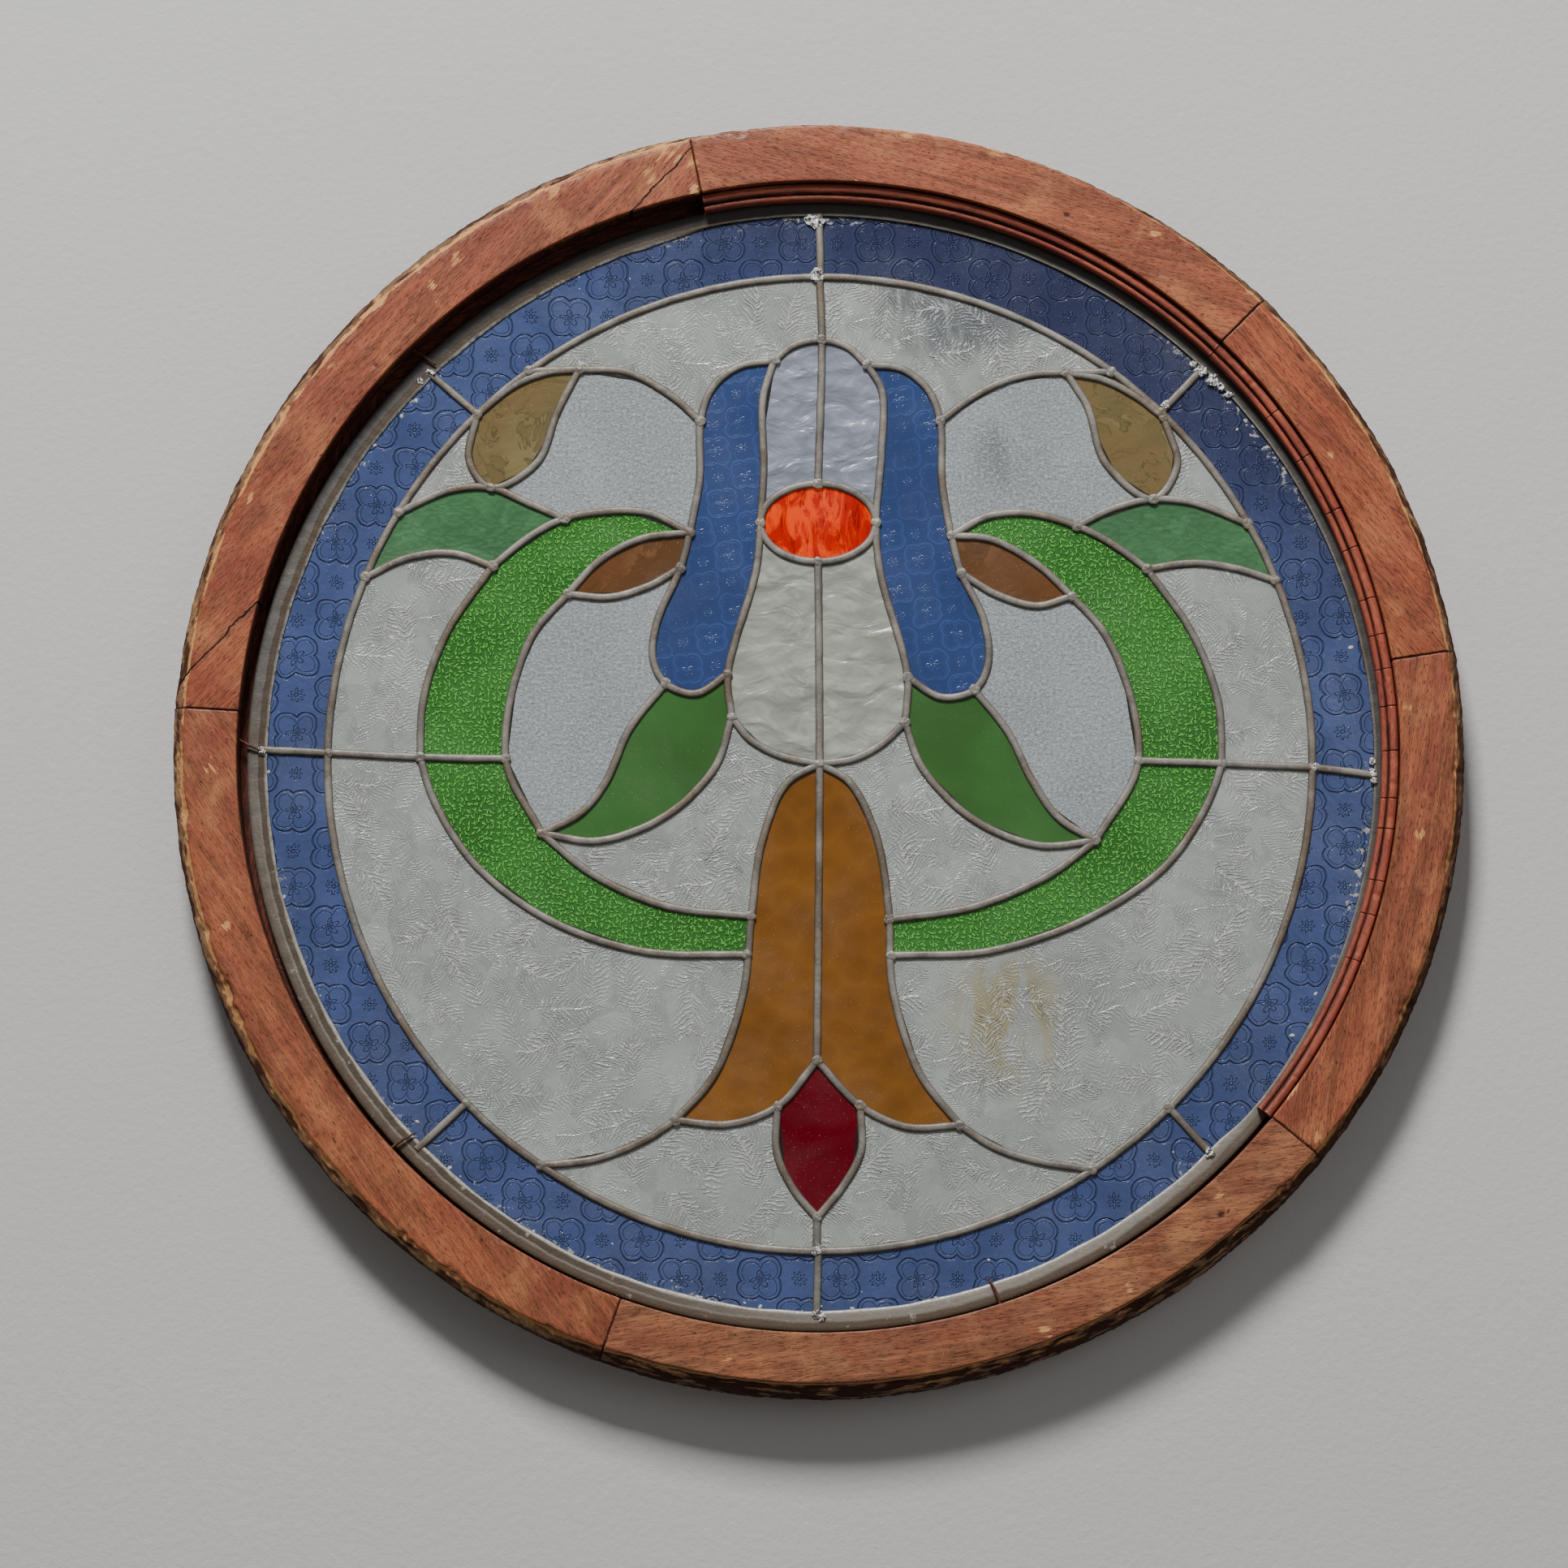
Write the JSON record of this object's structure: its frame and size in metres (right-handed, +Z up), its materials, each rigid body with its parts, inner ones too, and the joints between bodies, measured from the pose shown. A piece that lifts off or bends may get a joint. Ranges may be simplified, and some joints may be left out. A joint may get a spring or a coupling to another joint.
{
  "type": "round stained glass window",
  "caption": "Round leaded stained glass window in a built-up wooden ring frame, with flower and leaf panes inside a blue border.",
  "frame": {"origin": "on the frame's flat back face, in the middle of the bottom rail's width", "axes": "+Z up, -Y towards the viewer in front, +X to the viewer's right"},
  "size_m": [0.87, 0.0433, 0.8699],
  "materials": {
    "dark_wood": "bare, dark and rough",
    "varnished_wood": "old red-brown varnish, rubbed and scratched",
    "bead_wood": "red-brown varnish",
    "iron": "rusty nail",
    "lead": "dull grey lead, patinated",
    "blue_figured_glass": "pressed pattern",
    "clear_frosted_glass": "frosted fern pattern",
    "sandy_glass": "fine sandy texture",
    "hammered_glass": "hammered",
    "blue_glass": "faint swirls",
    "bright_green_glass": "pressed grain pattern",
    "green_glass": "faint swirls",
    "amber_glass": "faint scale pattern",
    "brown_glass": "smooth",
    "olive_glass": "wavy",
    "orange_glass": "streaky opalescent",
    "ruby_glass": "wavy"
  },
  "bodies": {
    "root": {"frame_back_ring": "dark_wood", "frame_front_top": "varnished_wood", "frame_front_right_upper": "varnished_wood", "frame_front_right_lower": "varnished_wood", "frame_front_bottom": "varnished_wood", "frame_front_left_lower": "varnished_wood", "frame_front_left_upper": "varnished_wood", "bead_top": "bead_wood", "bead_right": "bead_wood", "brad_upper_left": "iron", "brad_left": "iron", "brad_lower_left": "iron", "brad_bottom": "iron", "lead_cames": "lead", "glass_border_top_right": "blue_figured_glass", "glass_border_right_upper": "blue_figured_glass", "glass_border_right_lower": "blue_figured_glass", "glass_border_bottom_right": "blue_figured_glass", "glass_border_bottom_left": "blue_figured_glass", "glass_border_left_lower": "blue_figured_glass", "glass_border_left_upper": "blue_figured_glass", "glass_border_top_left": "blue_figured_glass", "glass_top_left": "clear_frosted_glass", "glass_top_right": "clear_frosted_glass", "glass_upper_field_left": "sandy_glass", "glass_upper_field_right": "sandy_glass", "glass_drop_left": "olive_glass", "glass_drop_right": "olive_glass", "glass_corner_left": "clear_frosted_glass", "glass_corner_right": "clear_frosted_glass", "glass_outer_leaf_left": "green_glass", "glass_outer_leaf_right": "green_glass", "glass_ribbon_upper_left": "bright_green_glass", "glass_ribbon_upper_right": "bright_green_glass", "glass_ribbon_lower_left": "bright_green_glass", "glass_ribbon_lower_right": "bright_green_glass", "glass_small_leaf_left": "brown_glass", "glass_small_leaf_right": "brown_glass", "glass_petal_left": "blue_glass", "glass_petal_right": "blue_glass", "glass_bud_upper_left": "hammered_glass", "glass_bud_upper_right": "hammered_glass", "glass_oval": "orange_glass", "glass_bud_lower_left": "hammered_glass", "glass_bud_lower_right": "hammered_glass", "glass_inner_field_left": "sandy_glass", "glass_inner_field_right": "sandy_glass", "glass_lower_leaf_left": "green_glass", "glass_lower_leaf_right": "green_glass", "glass_mid_field_left": "clear_frosted_glass", "glass_mid_field_right": "clear_frosted_glass", "glass_side_strip_left": "clear_frosted_glass", "glass_side_strip_right": "clear_frosted_glass", "glass_lower_field_left": "clear_frosted_glass", "glass_lower_field_right": "clear_frosted_glass", "glass_stem_left": "amber_glass", "glass_stem_right": "amber_glass", "glass_ruby": "ruby_glass", "glass_bottom_left": "clear_frosted_glass", "glass_bottom_right": "clear_frosted_glass"}
  },
  "joints": []
}
